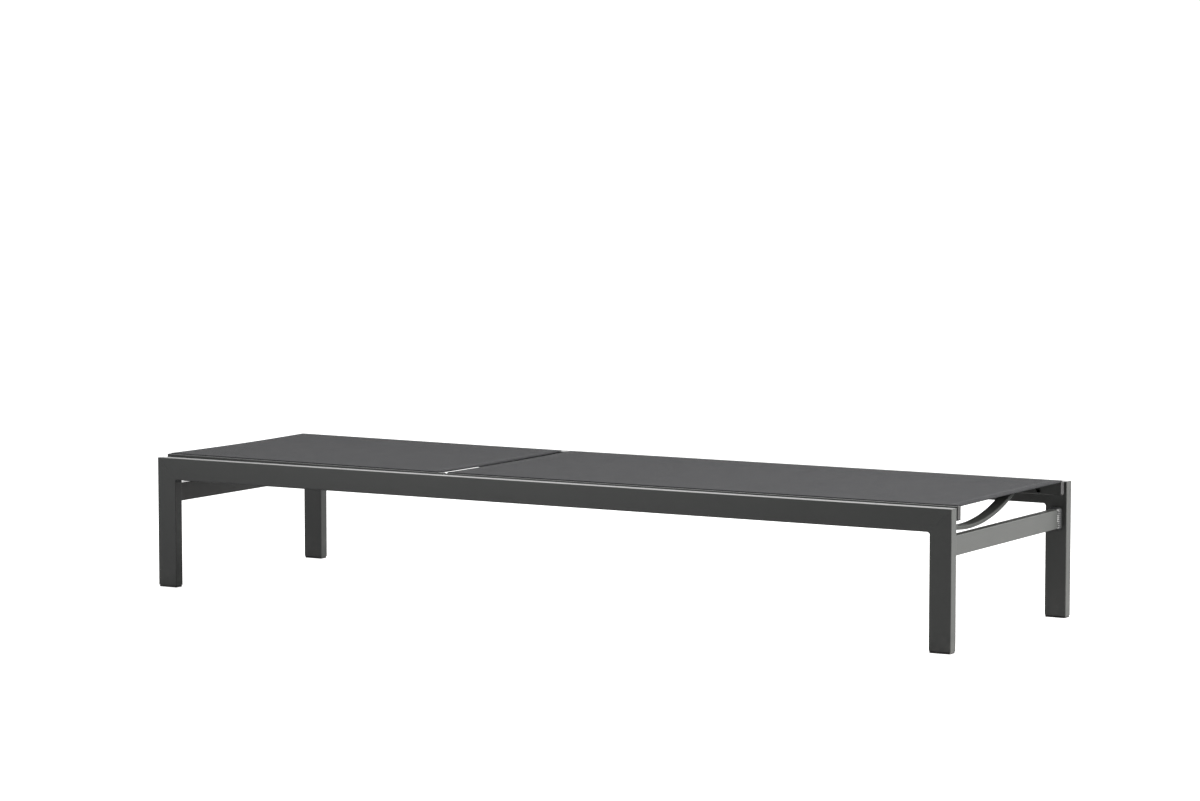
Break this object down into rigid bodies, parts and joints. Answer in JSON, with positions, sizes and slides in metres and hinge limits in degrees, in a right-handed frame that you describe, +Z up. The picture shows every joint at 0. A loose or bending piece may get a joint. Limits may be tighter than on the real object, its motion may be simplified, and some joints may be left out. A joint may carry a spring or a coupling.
{
  "type": "reclining sun lounger",
  "caption": "Low sun lounger with a rectangular tube frame, a fixed seat sling, a hinged sling backrest and a folding stay that catches in racks.",
  "frame": {"origin": "on the ground, under the centre of the side frames", "axes": "+X along the lounger from the head end to the foot end, +Y to the left side, +Z up"},
  "size_m": [2, 0.61, 0.3053],
  "materials": {
    "frame": "anthracite powder coat on aluminium tube, satin with a fine grain",
    "sling": "coated polyester mesh sling, fine plain weave",
    "plastic": "moulded black plastic, fine texture",
    "steel": "stainless steel fasteners",
    "rubber": "black moulded rubber buffer"
  },
  "bodies": {
    "frame": {"foot_crossbar": "frame", "foot_left_foot_cap": "plastic", "foot_left_leg": "frame", "foot_right_foot_cap": "plastic", "foot_right_leg": "frame", "head_crossbar": "frame", "head_left_foot_cap": "plastic", "head_left_leg": "frame", "head_right_foot_cap": "plastic", "head_right_leg": "frame", "hinge_left_bolt": "steel", "hinge_left_bush": "plastic", "hinge_right_bolt": "steel", "hinge_right_bush": "plastic", "left_rack": "frame", "left_rail": "frame", "left_rest_stop": "rubber", "right_rack": "frame", "right_rail": "frame", "right_rest_stop": "rubber", "seat_foot_bow": "frame", "seat_hinge_bow": "frame", "seat_left_bolt_1": "steel", "seat_left_bolt_2": "steel", "seat_left_bolt_3": "steel", "seat_left_foot_plug": "plastic", "seat_left_hinge_plug": "plastic", "seat_left_spacer_1": "plastic", "seat_left_spacer_2": "plastic", "seat_left_spacer_3": "plastic", "seat_left_tube": "frame", "seat_right_bolt_1": "steel", "seat_right_bolt_2": "steel", "seat_right_bolt_3": "steel", "seat_right_foot_plug": "plastic", "seat_right_hinge_plug": "plastic", "seat_right_spacer_1": "plastic", "seat_right_spacer_2": "plastic", "seat_right_spacer_3": "plastic", "seat_right_tube": "frame", "seat_sling": "sling"},
    "backrest": {"backrest_head_bow": "frame", "backrest_hinge_bow": "frame", "backrest_left_head_plug": "plastic", "backrest_left_hinge_plug": "plastic", "backrest_left_stay_lug": "frame", "backrest_left_stay_pin": "steel", "backrest_left_tube": "frame", "backrest_right_head_plug": "plastic", "backrest_right_hinge_plug": "plastic", "backrest_right_stay_lug": "frame", "backrest_right_stay_pin": "steel", "backrest_right_tube": "frame", "backrest_sling": "sling"},
    "stay": {"stay_bar": "steel", "stay_left_arm": "frame", "stay_left_sleeve": "plastic", "stay_right_arm": "frame", "stay_right_sleeve": "plastic"}
  },
  "joints": [
    {"name": "recline", "type": "hinge", "parent": "frame", "child": "backrest", "pos_m": [-0.275, 0, 0.285], "axis": [0, 1, 0], "range_deg": [0, 70]},
    {"name": "stay_fold", "type": "hinge", "parent": "backrest", "child": "stay", "pos_m": [-0.6051, 0, 0.26511], "axis": [0, 1, 0], "range_deg": [-140, 0]}
  ],
  "couplings": [
    {"joint": "stay_fold", "follows": "recline", "ratio": -2}
  ]
}
